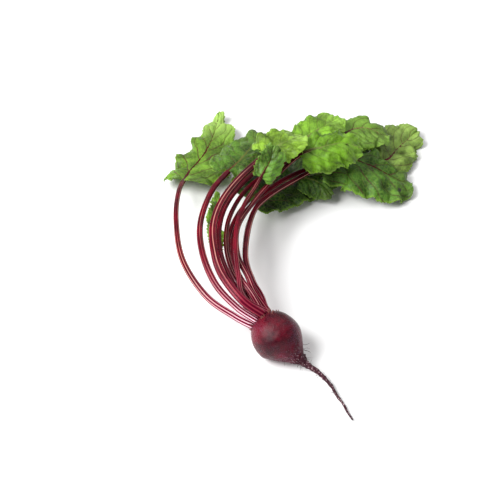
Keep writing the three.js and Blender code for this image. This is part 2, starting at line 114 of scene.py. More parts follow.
# Each leaf: its stalk's place on the crown, its route from crown to leaf tip, where on the
# route the blade begins, its stalk's radius at the foot and at the blade, the way its upper face
# looks at the crown, the blade's base and its tip, the blade's half widths, folds and curls to
# left and right, and its waves: their number, height and phase. Then come its green, how many
# side veins each half has, how red they are, how pink its stalk's foot is and how broad and
# white the pale stripes there are (partly painted highlights), how much painted light its tip
# gets, and its holes if it has any: place along and across, and radius.
LEAVES = {
    "leaf_left": dict(
        angle=0, ring=11.5, blade_from=4.6,
        route=[(-41, 16, 36), (-71, 38, 43), (-96, 84, 48), (-105, 144, 46), (-105, 203, 34),
               (-97, 248, 19), (-79, 292, 11), (-68, 330, 10), (-61, 371, 9)],
        stalk=(4.0, 2.6), facing=[(-0.2, -0.2, 1), (-0.15, -0.3, 1), (-0.1, -0.4, 0.9)],
        width=(36, 50), fold=(6, 10), curl=(-46, -30), wave=(4, 4.2, 0.4),
        lobe_depth=0.2, tip_taper=0.9,
        green="668e2a", veins=6, red=1.0, blush_and_highlight=1.0, painted_tip_light=0.75),
    "leaf_folded": dict(
        angle=42, ring=11.5, blade_from=5.2,
        route=[(-39, 20, 45), (-61, 42, 56), (-75, 78, 65), (-78, 121, 66), (-68, 174, 60),
               (-53, 205, 58), (-36, 231, 56), (-24, 260, 50), (-14, 297, 40)],
        stalk=(4.0, 2.8), facing=[(-0.2, 0.2, 1), (-0.1, -0.3, 1), (0, 0.3, 1)],
        width=(38, 25), fold=(10, 8), curl=(-60, -30), wave=(4, 3.4, 2.1),
        green="44691e", veins=6, red=0.6, blush_and_highlight=1.0, painted_tip_light=0.1),
    "leaf_top": dict(
        angle=88, ring=11.5, blade_from=6.1,
        route=[(-34, 19.5, 56.5), (-55, 49.5, 63.5), (-63, 76, 73), (-64, 108, 76),
               (-55, 143, 77), (-36, 181, 76), (-11, 214, 76), (11, 234, 78), (33, 253, 73)],
        stalk=(4.6, 3.6), facing=[(0, -0.5, 1), (-0.1, -0.3, 1), (0.2, 0.3, 1)],
        width=(30, 25), fold=(10, 8), curl=(-45, -26), wave=(4, 3, 1.1),
        green="7ca42e", veins=5, red=0.3, blush_and_highlight=0.15, painted_tip_light=0.35),
    "leaf_upright": dict(
        angle=129, ring=11.5, blade_from=5.6,
        route=[(-33, 28.5, 51.5), (-38.5, 56.5, 59), (-41, 87, 66), (-39, 120, 67),
               (-31, 150, 66), (-20, 175, 66), (-10, 192, 74), (-3, 203, 83), (-1, 215, 91)],
        stalk=(2.6, 2.2), facing=[(0, -0.4, 1), (0.2, -1, 0.6), (0.2, -1, 0.3)],
        width=(15, 18), fold=(12, 12), curl=(-30, -30), wave=(3, 2, 0.3),
        green="5f9030", veins=5, red=0.9, blush_and_highlight=0.3, painted_tip_light=0.1),
    "leaf_bright": dict(
        angle=176, ring=11.5, blade_from=6,
        route=[(-21.5, 40.5, 45), (-28.5, 55, 53), (-39, 82, 58), (-39, 120, 59), (-24, 156, 59),
               (1, 197, 60), (29, 231, 63), (54, 240, 67), (79, 246, 68), (102, 249, 58)],
        stalk=(3.1, 2.4), facing=[(0, -0.4, 1), (0, -0.4, 1), (0.3, -0.2, 1)],
        width=(21, 32), fold=(6, 4), curl=(-30, -46), wave=(4, 2.8, 0.2),
        green="66961c", veins=5, red=0.35, blush_and_highlight=0.2, painted_tip_light=0.15, holes=[(0.72, 0.12, 1.8)]),
    "leaf_dark": dict(
        angle=212, ring=11.5, blade_from=5.4,
        route=[(-14.5, 43, 35), (-24, 55.5, 47.5), (-31, 91, 49), (-24, 148, 48), (-8, 180, 46),
               (31, 221, 40), (76, 259, 34), (110, 253, 30), (140, 246, 16), (162, 242, 6)],
        stalk=(3.6, 2.5), facing=[(0, -0.4, 1), (0, -0.2, 1), (0.4, 0.1, 1)],
        width=(26, 46), fold=(8, 6), curl=(-24, -34), wave=(5, 3, 0.9),
        green="467020", veins=6, red=1.0, blush_and_highlight=0.5, painted_tip_light=0.1, holes=[(0.8, 0.5, 2.2)]),
    # leaf_low's green is painted very dark: painted shade, for the shade it lies in under the other
    # leaves.
    "leaf_low": dict(
        angle=252, ring=11.5, blade_from=4.2,
        route=[(-30, 38, 34), (-42, 79, 37), (-49, 114, 39), (-44, 148, 38), (-30, 187, 31),
               (-12, 216, 23), (16, 240, 15), (50, 259, 9), (86, 272, 6)],
        stalk=(3.4, 2.2), facing=[(0, -0.4, 1), (0.1, -0.3, 1), (0, 0, 1)],
        width=(40, 38), fold=(10, 8), curl=(-30, -20), wave=(4, 3, 1.9),
        green="264612", veins=6, red=0.6, blush_and_highlight=0.3, painted_tip_light=0.1),
    "leaf_under": dict(
        angle=232, ring=6.5, blade_from=6,
        route=[(-20.5, 37, 36.5), (-27, 64, 38), (-32, 98, 42), (-27, 147, 41), (-10, 191.6, 33.4),
               (12.5, 221.5, 26), (29, 233, 26), (45, 233, 25), (58, 227, 21), (68, 218, 14)],
        stalk=(2.2, 1.8), facing=[(0, -0.4, 1), (0, -0.4, 1), (0.2, -0.5, 1)],
        width=(9, 21), fold=(-6, 2), curl=(-12, -40), wave=(3, 1.6, 0.6),
        green="325616", veins=5, red=0.5, blush_and_highlight=0.3, painted_tip_light=0.1),
    "leaf_small": dict(
        angle=318, ring=11.5, blade_from=2.6,
        route=[(-33, 32, 37), (-48, 56, 43), (-57, 86, 42), (-61, 117, 43), (-63, 152, 43),
               (-61, 194, 38)],
        stalk=(2.4, 1.6), facing=[(0, -0.4, 1), (0.2, -1, 0.6), (0.3, -0.6, 0.8)],
        width=(11, 9), fold=(14, 14), curl=(-20, -20), wave=(3, 1.6, 0.7),
        green="6c982a", veins=7, red=0.2, blush_and_highlight=0.3, painted_tip_light=0.1),
    "leaf_back": dict(
        angle=60, ring=4.8, blade_from=6,
        route=[(-33, 32.5, 44), (-49, 59, 54), (-58, 93, 60), (-56, 134, 62), (-41, 174, 62),
               (-12, 216, 60), (23, 250, 60), (44, 269, 61), (62, 288, 60), (79, 305, 57)],
        stalk=(3.2, 2.3), facing=[(0, -0.4, 1), (0, -0.3, 1), (0.2, 0.2, 1)],
        width=(26, 28), fold=(8, 8), curl=(-40, -30), wave=(4, 2.8, 0.5),
        green="76a62c", veins=6, red=0.4, blush_and_highlight=0.3, painted_tip_light=0.3),
    "leaf_far_right": dict(
        angle=180, ring=4.8, blade_from=6.6,
        route=[(-24.5, 35, 48.5), (-38.5, 60, 53), (-44, 97, 51), (-39, 135, 49),
               (-19.5, 176, 45), (21.5, 228.5, 35), (82, 272, 22), (130, 276, 15), (152, 303, 13),
               (177, 336, 10)],
        stalk=(3.2, 2.4), facing=[(0, -0.4, 1), (-0.2, -0.5, 1), (0.1, -0.5, 1)],
        width=(34, 27), fold=(8, 8), curl=(-20, -30), wave=(4, 2.6, 2.6),
        green="84a24a", veins=6, red=1.0, blush_and_highlight=0.3, painted_tip_light=0.35),
    "leaf_back_right": dict(
        angle=300, ring=4.8, blade_from=6,
        route=[(-26.5, 37, 40.5), (-44, 70, 45), (-51, 105, 49), (-47, 147, 51), (-26, 195, 49),
               (15, 238, 46), (67, 275, 44), (94, 297, 45), (116, 300, 43), (137, 290, 34)],
        stalk=(3.0, 2.2), facing=[(0, -0.4, 1), (0, -0.3, 1), (0.2, 0, 1)],
        width=(22, 34), fold=(6, 8), curl=(-44, -24), wave=(4, 2.4, 1.4),
        green="6a9034", veins=6, red=0.9, blush_and_highlight=0.3, painted_tip_light=0.1),
}

# The stage, in metres and degrees: the photograph's camera, and each light's place and side
CAMERA_PLACE = (-0.0381, -0.77902, 0.94204)
CAMERA_TILT = 45
CAMERA_LENS = 90.566
FLOOR_SIDE = 8
KEY_LIGHT = ((-1.1, -0.3, 1.3), 1.0)
TOP_LIGHT = ((0.3, 0.9, 1.5), 1.6)
LIGHT_AIM = (0, 0.12, 0.02)


def paint(code):
    """A colour for a node from its six hexadecimal digits."""
    parts = [int(code[k:k + 2], 16) / 255 for k in (0, 2, 4)]
    return [p / 12.92 if p <= 0.04045 else ((p + 0.055) / 1.055) ** 2.4 for p in parts]


def mix(a, b, share):
    return a + (b - a) * share


def smooth(x):
    return x * x * (3 - 2 * x)


def eased(x):
    return smooth(np.clip(x, 0, 1))


def unit(vectors):
    return vectors / np.linalg.norm(vectors, axis=-1, keepdims=True)


def grain(places, size, seed=0.0):
    """Soft noise from -1 to 1 at each place, with lumps of about the given size."""
    shift = Vector((seed * 7.31, seed * 3.17, seed * 5.93))
    return np.array([noise.noise(Vector(p) / size + shift) for p in places])


def seeded(seed):
    """Draws numbers from 0 to 1, the same ones each time."""
    state = seed
    while True:
        state = (state * 16807) % 2147483647
        yield state / 2147483647


class Route:
    """A smooth line through points, with its crosswise frame at each place."""

    def __init__(self, points, facings=((0, 0, 1),) * 3, blade_from=1):
        points = np.array(points, float)
        before = 2 * points[0] - points[1]
        after = 2 * points[-1] - points[-2]
        self.knots = np.vstack([before, points, after])
        self.last = len(points) - 1
        self.facings = unit(np.array(facings, float))
        self.blade_from = blade_from

    def point(self, t):
        t = np.clip(t, 0, self.last)
        start = np.minimum(self.last - 1, np.floor(t)).astype(int)
        w = (t - start)[:, None]
        p0, p1, p2, p3 = (self.knots[start + k] for k in range(4))
        leave = (p2 - p0) / 2
        arrive = (p3 - p1) / 2
        return (p1 + leave * w + (3 * p2 - 3 * p1 - 2 * leave - arrive) * w ** 2
                + (2 * p1 - 2 * p2 + leave + arrive) * w ** 3)

    def frame(self, t):
        step = 0.02  # along the route, for the tangent
        at = self.point(t)[:, :3]
        tangent = unit(self.point(t + step)[:, :3] - self.point(t - step)[:, :3])
        in_stalk = eased(t / self.blade_from)[:, None]
        rest = self.last - self.blade_from
        in_blade = eased((t - self.blade_from) / rest)[:, None]
        at_crown, at_base, at_tip = self.facings
        facing = np.where(t[:, None] < self.blade_from, mix(at_crown, at_base, in_stalk),
                          mix(at_base, at_tip, in_blade))
        along_it = np.sum(facing * tangent, axis=1, keepdims=True)
        up = unit(facing - along_it * tangent)
        return at, tangent, up, np.cross(tangent, up)


# Meshes

def deselect_all():
    bpy.ops.object.select_all(action="DESELECT")


def new_piece(name):
    piece = bpy.context.object
    piece.name = name
    piece.data.name = name
    return piece


def read_places(piece):
    places = np.empty(len(piece.data.vertices) * 3, np.float32)
    piece.data.vertices.foreach_get("co", places)
    return places.reshape(-1, 3).astype(float)


def move_places(piece, places):
    """Moves each vertex to its place, which is given in millimetres."""
    piece.data.vertices.foreach_set("co", (places * MM).astype(np.float32).ravel())
    piece.data.update()


def keep_values(piece, name, values):
    attribute = piece.data.attributes.new(name, "FLOAT", "POINT")
    attribute.data.foreach_set("value", values.astype(np.float32))


def swept_body(name, sides, rings, placer):
    """A closed body from a ball: placer gives the places for shares along it and turns round it."""
    deselect_all()
    bpy.ops.mesh.primitive_uv_sphere_add(segments=sides, ring_count=rings, radius=1)
    piece = new_piece(name)
    flat = read_places(piece)
    share = 1 - np.arctan2(np.hypot(flat[:, 0], flat[:, 1]), flat[:, 2]) / math.pi
    turn = np.arctan2(flat[:, 1], flat[:, 0])
    move_places(piece, placer(share, turn))
    bpy.ops.object.shade_smooth()
    return piece, share, turn


def face_out():
    bpy.ops.object.mode_set(mode="EDIT")
    bpy.ops.mesh.select_all(action="SELECT")
    bpy.ops.mesh.normals_make_consistent(inside=False)
    bpy.ops.object.mode_set(mode="OBJECT")


def apply_modifier(piece, kind, **settings):
    modifier = piece.modifiers.new(kind.title(), kind)
    for key, value in settings.items():
        setattr(modifier, key, value)
    bpy.context.view_layer.objects.active = piece
    bpy.ops.object.modifier_apply(modifier=modifier.name)


def place_in_frame(piece, slot, *nodes):
    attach(piece, "root")
    if nodes:
        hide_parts(*nodes)


# Node trees

class Tree:
    """A node tree that is built a node at a time."""

    def __init__(self, tree):
        self.tree = tree

    def add(self, kind, inputs=None, **settings):
        node = self.tree.nodes.new(kind)
        for name, value in settings.items():
            setattr(node, name, value)
        for socket, value in (inputs or {}).items():
            self.feed(node.inputs[socket], value)
        return node

    def feed(self, socket, value):
        if isinstance(value, bpy.types.NodeSocket):
            self.tree.links.new(value, socket)
        elif socket.type == "RGBA" and len(value) == 3:
            socket.default_value = (*value, 1)
        else:
            socket.default_value = value

    def math(self, operation, *values):
        node = self.add("ShaderNodeMath", operation=operation)
        for socket, value in zip(node.inputs, values):
            self.feed(socket, value)
        return node.outputs[0]

    def times(self, a, b):
        return self.math("MULTIPLY", a, b)

    def plus(self, a, b):
        return self.math("ADD", a, b)

    def ramp(self, value, low, high):
        """0 below low and 1 above high, or the other way round if high is the lower one."""
        node = self.add("ShaderNodeMapRange", {"Value": value}, interpolation_type="SMOOTHSTEP")
        self.feed(node.inputs["From Min"], min(low, high))
        self.feed(node.inputs["From Max"], max(low, high))
        node.inputs["To Min"].default_value = 0 if low < high else 1
        node.inputs["To Max"].default_value = 1 if low < high else 0
        return node.outputs[0]

    def blend(self, factor, a, b):
        node = self.add("ShaderNodeMix", data_type="RGBA")
        self.feed(node.inputs[0], factor)
        self.feed(node.inputs[6], a)
        self.feed(node.inputs[7], b)
        return node.outputs[2]

    def noise(self, where, scale, detail=3.0, roughness=0.5):
        node = self.add("ShaderNodeTexNoise", {"Vector": where, "Scale": scale,
                                               "Detail": detail, "Roughness": roughness})
        return node.outputs[0]

    def attribute(self, name):
        return self.add("ShaderNodeAttribute", attribute_name=name).outputs["Fac"]

    def object_place(self):
        return self.add("ShaderNodeTexCoord").outputs["Object"]

    def group(self, tree, **inputs):
        """A group node; each input is named as its socket, in small letters and underscores."""
        node = self.add("ShaderNodeGroup", node_tree=tree)
        for name, value in inputs.items():
            self.feed(node.inputs[name.replace("_", " ").capitalize()], value)
        return node.outputs

    def relief(self, height, depth, strength=1.0):
        """A normal from a height map of that depth in metres."""
        node = self.add("ShaderNodeBump", {"Height": height, "Distance": depth,
                                           "Strength": strength})
        return node.outputs[0]


def new_group(name, inputs, outputs):
    """A node group with those sockets, each given as a name and a socket kind."""
    tree = bpy.data.node_groups.new(name, "ShaderNodeTree")
    for socket, kind in inputs:
        tree.interface.new_socket(socket, in_out="INPUT", socket_type=kind)
    for socket, kind in outputs:
        tree.interface.new_socket(socket, in_out="OUTPUT", socket_type=kind)
    build = Tree(tree)
    given = build.add("NodeGroupInput").outputs
    result = build.add("NodeGroupOutput").inputs
    return build, given, result


FLOAT = "NodeSocketFloat"
VECTOR = "NodeSocketVector"
COLOUR = "NodeSocketColor"


def mottling_group():
    """Blends two colours in soft patches with finer flecks in them."""
    found = bpy.data.node_groups.get("mottling")
    if found:
        return found
    build, given, result = new_group(
        "mottling",
        [("Place", VECTOR), ("Scale", FLOAT), ("First", COLOUR), ("Second", COLOUR)],
        [("Colour", COLOUR), ("Patches", FLOAT)])
    wide = build.noise(given["Place"], given["Scale"], 2)
    fine = build.noise(given["Place"], build.times(given["Scale"], 7), 4, 0.6)
    both = build.plus(build.times(wide, 0.7), build.times(fine, 0.3))
    patches = build.ramp(both, 0.36, 0.64)
    build.feed(result["Colour"], build.blend(patches, given["First"], given["Second"]))
    build.feed(result["Patches"], patches)
    return build.tree


def vein_group():
    """Side veins where Place is a whole number, their forks near the margin, and a net of fine ones."""
    found = bpy.data.node_groups.get("leaf_veins")
    if found:
        return found
    build, given, result = new_group(
        "leaf_veins",
        [("Vein place", FLOAT), ("Out", FLOAT), ("Place", VECTOR)],
        [("Vein", FLOAT), ("Net", FLOAT)])

    def line(place, thick, thin):
        share = build.math("FRACT", place)
        away = build.math("SUBTRACT", 0.5, build.math("ABSOLUTE", build.math("SUBTRACT", share, 0.5)))
        half = build.plus(build.times(given["Out"], thin - thick), thick)
        return build.ramp(build.math("DIVIDE", away, half), 1, 0.35)

    main = line(given["Vein place"], *MAIN_VEIN)
    fork_place = build.plus(build.times(given["Vein place"], 2), build.times(given["Out"], 1.1))
    fork = build.times(line(fork_place, *FORK_VEIN), build.ramp(given["Out"], 0.4, 0.55))
    vein = build.math("MAXIMUM", main, build.times(fork, 0.55))
    wander = build.noise(given["Place"], 300, 2)
    warped = build.add("ShaderNodeVectorMath", {0: given["Place"]}, operation="ADD")
    shift = build.add("ShaderNodeVectorMath", {0: wander}, operation="SCALE")
    shift.inputs["Scale"].default_value = NET_WANDER
    build.feed(warped.inputs[1], shift.outputs[0])
    cells = build.add("ShaderNodeTexVoronoi", {"Vector": warped.outputs[0], "Scale": NET_CELLS},
                      feature="DISTANCE_TO_EDGE")
    build.feed(result["Vein"], vein)
    build.feed(result["Net"], build.ramp(cells.outputs["Distance"], 0.14, 0.02))
    return build.tree


def new_material(name):
    material = bpy.data.materials.new(name)
    material.use_nodes = True
    material.node_tree.nodes.clear()
    build = Tree(material.node_tree)
    surface = build.add("ShaderNodeBsdfPrincipled")
    output = build.add("ShaderNodeOutputMaterial")
    build.feed(output.inputs["Surface"], surface.outputs[0])
    return material, build, surface.inputs


def blade_material(name, leaf, look, underside):
    material, build, surface = new_material(name)
    place = build.object_place()
    out = build.attribute("out")
    veins = build.group(vein_group(), vein_place=build.attribute("vein_place"), out=out,
                        place=place)
    green = np.array(paint(leaf["green"]))
    pale = 0.5 if underside else 0.0
    first = mix(green * 0.38, np.array(look.under_green) * 0.7, pale)
    second = mix(np.minimum(green * 1.2, 1), np.array(look.under_green), pale)
    patches = build.group(mottling_group(), place=place, scale=55.0, first=tuple(first),
                          second=tuple(second))
    # Painted light: the upper side of each leaf tip is painted paler, as where the light catches it.
    light = build.times(build.attribute("tip"), 0.0 if underside else leaf["painted_tip_light"])
    colour = build.blend(light, patches["Colour"], look.painted_tip_light_green)
    # Painted shade: the blade's colour is darkened in the low places between its folds and puckers.
    painted_hollow_shade = build.times(build.ramp(build.attribute("raised"), 0.5, 0.1), 0.7)
    colour = build.blend(painted_hollow_shade, colour, tuple(first * 0.6))
    net = build.times(veins["Net"], 0.2)
    colour = build.blend(net, colour, look.net_green)
    rim = build.times(build.ramp(out, 0.9, 1.0), 0.45)
    colour = build.blend(rim, colour, look.margin_green)
    red = build.times(veins["Vein"], leaf["red"] * (0.55 if underside else 0.9))
    colour = build.blend(red, colour, look.vein_red)
    build.feed(surface["Base Color"], colour)
    build.feed(surface["Roughness"], build.plus(build.times(patches["Patches"], 0.14), 0.34))
    surface["Specular IOR Level"].default_value = 0.24
    sign = 1 if underside else -1
    height = build.plus(build.times(veins["Vein"], sign * 0.9),
                        build.times(veins["Net"], sign * 0.35))
    height = build.plus(height, build.times(build.noise(place, 900, 3), 0.35))
    build.feed(surface["Normal"], build.relief(height, look.vein_relief * MM))
    return material


def stalk_material(look):
    found = bpy.data.materials.get("stalk_crimson")
    if found:
        return found
    material, build, surface = new_material("stalk_crimson")
    place = build.object_place()
    turn = build.attribute("turn")
    along = build.attribute("along")
    round_place = build.add("ShaderNodeCombineXYZ")
    build.feed(round_place.inputs[0], build.math("COSINE", turn))
    build.feed(round_place.inputs[1], build.math("SINE", turn))
    build.feed(round_place.inputs[2], build.plus(build.attribute("own"), build.times(along, 1.2)))
    wide_streaks = build.noise(round_place.outputs[0], 1.6, 1)
    fine_streaks = build.noise(round_place.outputs[0], 6.0, 2)
    rib = build.attribute("rib")
    at_foot = build.ramp(along, 0.36, 0.04)
    blush_and_highlight = build.times(at_foot, build.attribute("blush_and_highlight"))
    crest = build.ramp(build.plus(rib, build.times(blush_and_highlight, 0.16)), 0.68, 0.92)
    at_blade = build.ramp(along, 0.4, 0.75)
    body = build.group(mottling_group(), place=place, scale=60.0, first=look.crimson,
                       second=look.bright_crimson)
    colour = build.blend(build.times(build.ramp(fine_streaks, 0.5, 0.7), 0.55),
                         body["Colour"], look.deep_crimson)
    pink = build.plus(build.times(at_foot, 0.15), build.times(blush_and_highlight, 0.5))
    colour = build.blend(pink, colour, look.foot_pink)
    colour = build.blend(build.times(at_blade, 0.55), colour, look.deep_crimson)
    # Painted shade: the grooves between the ribs are darkened.
    painted_groove_shade = build.times(build.ramp(rib, 0.5, 0.05), 0.75)
    colour = build.blend(painted_groove_shade, colour, look.deep_crimson)
    # Pale stripes on the ribs' crests, broader and whiter at a blushed foot: partly the stalk's own
    # pale stripes, partly painted highlights.
    streaks = build.math("MAXIMUM", build.ramp(wide_streaks, 0.53, 0.63), blush_and_highlight)
    pale = build.times(crest, streaks)
    pale = build.times(pale, build.plus(build.times(blush_and_highlight, 0.3), 0.62))
    colour = build.blend(pale, colour, build.blend(blush_and_highlight, look.pale_rib_and_highlight, look.foot_white_and_highlight))
    colour = build.blend(build.attribute("green_rib"), colour, look.rib_green)
    build.feed(surface["Base Color"], colour)
    surface["Roughness"].default_value = 0.2
    surface["Specular IOR Level"].default_value = 0.13
    relief = build.plus(build.times(fine_streaks, 1.4), build.times(build.noise(place, 700, 3), 0.5))
    build.feed(surface["Normal"], build.relief(relief, 0.25 * MM, 0.8))
    return material


def root_material(look):
    material, build, surface = new_material("root_skin")
    place = build.object_place()
    body = build.group(mottling_group(), place=place, scale=38.0, first=look.skin_dark,
                       second=look.skin_red)
    crown = build.attribute("crown")
    tail = build.attribute("tail")
    flecks = build.noise(place, 1100, 2, 0.7)
    # Pale purple flecks in patches: partly dust and bloom on the skin, partly a painted sheen where the
    # light catches it.
    dust_and_sheen = build.times(build.ramp(flecks, 0.52, 0.6), 0.3)
    dust_and_sheen = build.times(dust_and_sheen, build.ramp(build.noise(place, 30, 2), 0.4, 0.6))
    colour = build.blend(dust_and_sheen, body["Colour"], look.skin_dust_and_sheen)
    colour = build.blend(build.times(crown, 0.7), colour, look.crown_brown)
    colour = build.blend(build.times(tail, 0.8), colour, look.tail_brown)
    scar_noise = build.noise(place, 620, 3, 0.65)
    scars = build.times(build.ramp(scar_noise, 0.58, 0.64), build.plus(build.times(tail, 0.8), 0.05))
    colour = build.blend(scars, colour, look.fleck_pale)
    build.feed(surface["Base Color"], colour)
    rough = build.plus(build.times(build.ramp(flecks, 0.42, 0.58), 0.3), 0.16)
    rough = build.plus(rough, build.times(tail, 0.2))
    build.feed(surface["Roughness"], rough)
    surface["Specular IOR Level"].default_value = 0.2
    coarse = build.noise(place, 300, 3, 0.6)
    pits = build.plus(build.times(flecks, 1.1), coarse)
    build.feed(surface["Normal"], build.relief(pits, look.skin_relief * MM))
    return material


def plain_material(name, colour, roughness):
    material, build, surface = new_material(name)
    shade = build.group(mottling_group(), place=build.object_place(), scale=300.0,
                        first=tuple(np.array(colour) * 0.7), second=tuple(colour))
    build.feed(surface["Base Color"], shade["Colour"])
    surface["Roughness"].default_value = roughness
    return material


# The root

def root_line():
    """The root's middle line with its radius as a fourth number, from the crown to the tail's tip."""
    bulb = [(*(ROOT_CENTRE + CROWN_DIRECTION * along), radius) for along, radius in BULB_PROFILE]
    return Route(bulb + TAPER_AND_TAIL)


def root_frame(line, t):
    """The frame of the root's line, square to the crown's axis in the bulb so that no ring folds."""
    at, tangent, _, _ = line.frame(t)
    in_tail = eased((t - len(BULB_PROFILE) - 0.5) / 2.5)[:, None]
    tangent = unit(mix(-CROWN_DIRECTION, tangent, in_tail))
    up = unit(np.array([0, 0, 1]) - tangent[:, 2:] * tangent)
    return at, tangent, up, np.cross(tangent, up)


def root_surface(line, share, turn, look=None):
    """Places on the root's skin, with its lumps, rings and furrows if a look is given."""
    t = share * line.last
    at, _, up, side = root_frame(line, t)
    radius = np.maximum(0, line.point(t)[:, 3])
    outward = side * np.sin(turn)[:, None] + up * np.cos(turn)[:, None]
    places = at + outward * radius[:, None]
    if look is not None:
        bulb = len(BULB_PROFILE)
        in_tail = eased((t - bulb - 1) / 2)
        near_crown = eased((3.4 - t) / 2.4)
        neck = eased((t - bulb + 1) / 2)
        fade = np.clip(radius / 3, 0, 1)
        height = look.lump_height * grain(places, 15) * fade * (1 - in_tail)
        rings = np.sin(t * 19 + 3 * grain(places, 9, 2))
        height += CROWN_RING_HEIGHT * rings * near_crown * fade
        furrows = grain(np.column_stack([turn * 2.2, t * 0.5, t * 0]), 0.35, 4)
        height += NECK_FURROW_HEIGHT * furrows * neck * (1 - in_tail) * fade
        height += CROWN_LUMP_HEIGHT * np.abs(grain(places, 3.2, 5)) * near_crown * fade
        wide, fine = TAIL_LUMPS
        rough = wide * grain(places, 4.5, 6) + fine * grain(places, 1.7, 7) - TAIL_THINNER
        height += radius * in_tail * rough
        places = places + outward * height[:, None]
    places[:, 2] = np.maximum(places[:, 2], 0)
    return places, t


def add_root(look):
    line = root_line()
    piece, share, _ = swept_body(
        "beet_root", look.root_sides, look.root_rings,
        lambda share, turn: root_surface(line, share, turn, look)[0])
    face_out()
    t = share * line.last
    keep_values(piece, "crown", eased((3.2 - t) / 1.6))
    keep_values(piece, "tail", eased((t - len(BULB_PROFILE) - 0.6) / 2.4))
    piece.data.materials.append(root_material(look))
    place_in_frame(piece, "root_skin", "root")


def thread(name, points, radii, sides=6):
    """A thin closed body through points, with a radius at each."""
    route = Route(points)
    spread = np.linspace(0, 1, len(radii))

    def placer(share, turn):
        at, _, up, side = route.frame(share * route.last)
        radius = np.interp(share, spread, radii) * np.clip(np.minimum(share, 1 - share) * 40, 0, 1)
        outward = side * np.sin(turn)[:, None] + up * np.cos(turn)[:, None]
        places = at + outward * radius[:, None]
        places[:, 2] = np.maximum(places[:, 2], FLOOR / 2)
        return places

    piece, _, _ = swept_body(name, sides, 3 * len(points), placer)
    return piece


def free_hair(line, draw, t, length, radius):
    """A side root that leaves the neck or the tail outwards, then bends along it and sinks."""
    at, tangent, up, side = root_frame(line, np.array([t]))
    tail_radius = max(0.4, line.point(np.array([t]))[0, 3])
    turn = (1 if next(draw) > 0.5 else -1) * mix(0.6, 2.3, next(draw))
    outward = side[0] * math.sin(turn) + up[0] * math.cos(turn)
    bend = unit(np.array([next(draw) - 0.5, next(draw) - 0.5, next(draw) * 0.6 - 0.5]))
    reach = mix(-0.3, 0.9, next(draw))
    points = []
    for k in range(HAIR_POINTS):
        share = k / (HAIR_POINTS - 1)
        place = at[0] + outward * (tail_radius * 0.8 + length * 0.8 * share)
        place = place + tangent[0] * length * reach * share ** 2
        place = place + bend * length * 0.7 * share ** 2
        wobble = math.sin(share * 8 + turn * 5) * length * HAIR_WOBBLE * share
        place = place + tangent[0] * math.cos(share * 7 + turn * 3) * length * HAIR_WOBBLE * share
        place = place + np.cross(outward, tangent[0]) * wobble
        place[2] = max(place[2], radius + FLOOR)
        points.append(place)
    return thread("hair", points, [radius, radius * 0.9, radius * 0.5])


def skin_hair(line, draw, t, turn, reach, radius):
    """A side root that lies on the skin and runs back from the neck over the bulb."""
    points = []
    for k in range(THREAD_POINTS):
        share = k / (THREAD_POINTS - 1)
        place_t = (t - reach * share) / line.last
        drift = turn + 0.5 * share + 0.25 * math.sin(share * 7 + t)
        on_skin, _ = root_surface(line, np.array([place_t]), np.array([drift]))
        outward = unit(on_skin[0] - line.point(np.array([place_t * line.last]))[0, :3])
        points.append(on_skin[0] + outward * (radius * 0.7 + 0.9 * share * next(draw)))
    return thread("hair", points, [radius, radius * 0.8, radius * 0.4])


def add_hairs(look):
    line = root_line()
    draw = seeded(HAIR_SEED)
    bulb = len(BULB_PROFILE)
    hairs = []
    threads = []
    for _ in range(look.hair_count):
        t = bulb + mix(0.9, 9.5, next(draw) ** 2.2)
        length = look.hair_length * mix(0.3, 1, next(draw)) * (1 - (t - bulb) / 14)
        hairs.append(free_hair(line, draw, t, length, mix(*HAIR_RADII, next(draw) ** 2)))
    for k in range(THREAD_COUNT):
        turn = 1.3 + 0.2 * k
        reach = mix(0.9, 2.2, next(draw))
        start = bulb + mix(1.2, 2.4, next(draw))
        threads.append(skin_hair(line, draw, start, turn, reach, THREAD_RADIUS))
    join_as("root_threads", threads, "root_thread", look.thread_pale, 0.5)
    join_as("root_hairs", hairs, "root_hair", look.hair_brown, 0.6)


def add_scales(look):
    """Dry scales and stubs of lost stalks, which stand among the stalks' feet on the crown."""
    line = root_line()
    draw = seeded(SCALE_SEED)
    scales = []
    for _ in range(look.scale_count):
        t = np.array([mix(2.0, 3.5, next(draw)) / line.last])
        foot, _ = root_surface(line, t, np.array([2 * math.pi * next(draw)]))
        away = unit(foot[0] - ROOT_CENTRE)
        lean = unit(np.array([next(draw) - 0.5, next(draw) - 0.5, next(draw) - 0.5]))
        length = mix(2.0, 4.5, next(draw))
        wide = mix(0.5, 1.0, next(draw))
        last = SCALE_POINTS - 1
        points = [foot[0] + away * (length * k / last - 0.8) + lean * length * 0.4 * (k / last) ** 2
                  for k in range(SCALE_POINTS)]
        scales.append(thread("scale", points, [wide, wide * 0.8, wide * 0.25], SCALE_SIDES))
    join_as("crown_scales", scales, "dry_scale", look.scale_tan, 0.55)


def join_as(name, pieces, material, colour, roughness):
    """Joins thin pieces of the root's skin into one, in one material."""
    deselect_all()
    for piece in pieces:
        piece.select_set(True)
    bpy.context.view_layer.objects.active = pieces[0]
    bpy.ops.object.join()
    joined = new_piece(name)
    face_out()
    joined.data.materials.append(plain_material(material, colour, roughness))
    place_in_frame(joined, "root_skin")


# The leaves

def crown_foot(angle, ring):
    """The place of a stalk's foot inside the crown."""
    across = unit(np.cross([0, 0, 1], CROWN_DIRECTION))
    upward = np.cross(CROWN_DIRECTION, across)
    turn = math.radians(angle)
    outward = across * math.cos(turn) + upward * math.sin(turn)
    return ROOT_CENTRE + CROWN_DIRECTION * STALK_FOOT_DEPTH + outward * ring


def leaf_route(leaf):
    points = [crown_foot(leaf["angle"], leaf["ring"]), *leaf["route"]]
    return Route(points, leaf["facing"], leaf["blade_from"] + 1)


